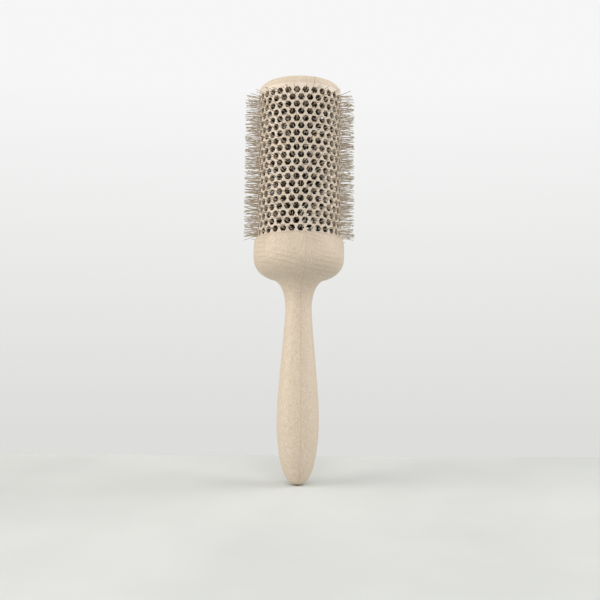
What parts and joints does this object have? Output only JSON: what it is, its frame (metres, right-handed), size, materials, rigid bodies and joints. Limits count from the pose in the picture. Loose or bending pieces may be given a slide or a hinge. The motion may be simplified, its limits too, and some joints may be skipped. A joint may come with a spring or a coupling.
{
  "type": "round barrel brush",
  "caption": "Round styling brush with a perforated metal barrel, nylon bristles held in a twisted-wire core, a closing end cap and a one-piece tapered handle.",
  "frame": {"origin": "on the brush's axis, at the flat end of the handle", "axes": "+Z along the brush's axis, from the handle's end to the end cap; -Y is the front"},
  "size_m": [0.071, 0.071, 0.2544],
  "materials": {
    "moulded": "matte, plant-fibre filled, moulded",
    "ceramic_coat": "satin ceramic coating on aluminium",
    "nylon": "drawn nylon filament",
    "wire": "zinc-plated steel wire"
  },
  "bodies": {
    "root": {"handle": "moulded", "barrel": "ceramic_coat", "end_cap": "moulded", "core_wire_a": "wire", "core_wire_b": "wire", "bristle_row_01": "nylon", "bristle_row_02": "nylon", "bristle_row_03": "nylon", "bristle_row_04": "nylon", "bristle_row_05": "nylon", "bristle_row_06": "nylon", "bristle_row_07": "nylon", "bristle_row_08": "nylon", "bristle_row_09": "nylon", "bristle_row_10": "nylon", "bristle_row_11": "nylon", "bristle_row_12": "nylon", "bristle_row_13": "nylon", "bristle_row_14": "nylon", "bristle_row_15": "nylon", "bristle_row_16": "nylon", "bristle_row_17": "nylon", "bristle_row_18": "nylon", "bristle_row_19": "nylon", "bristle_row_20": "nylon"}
  },
  "joints": []
}
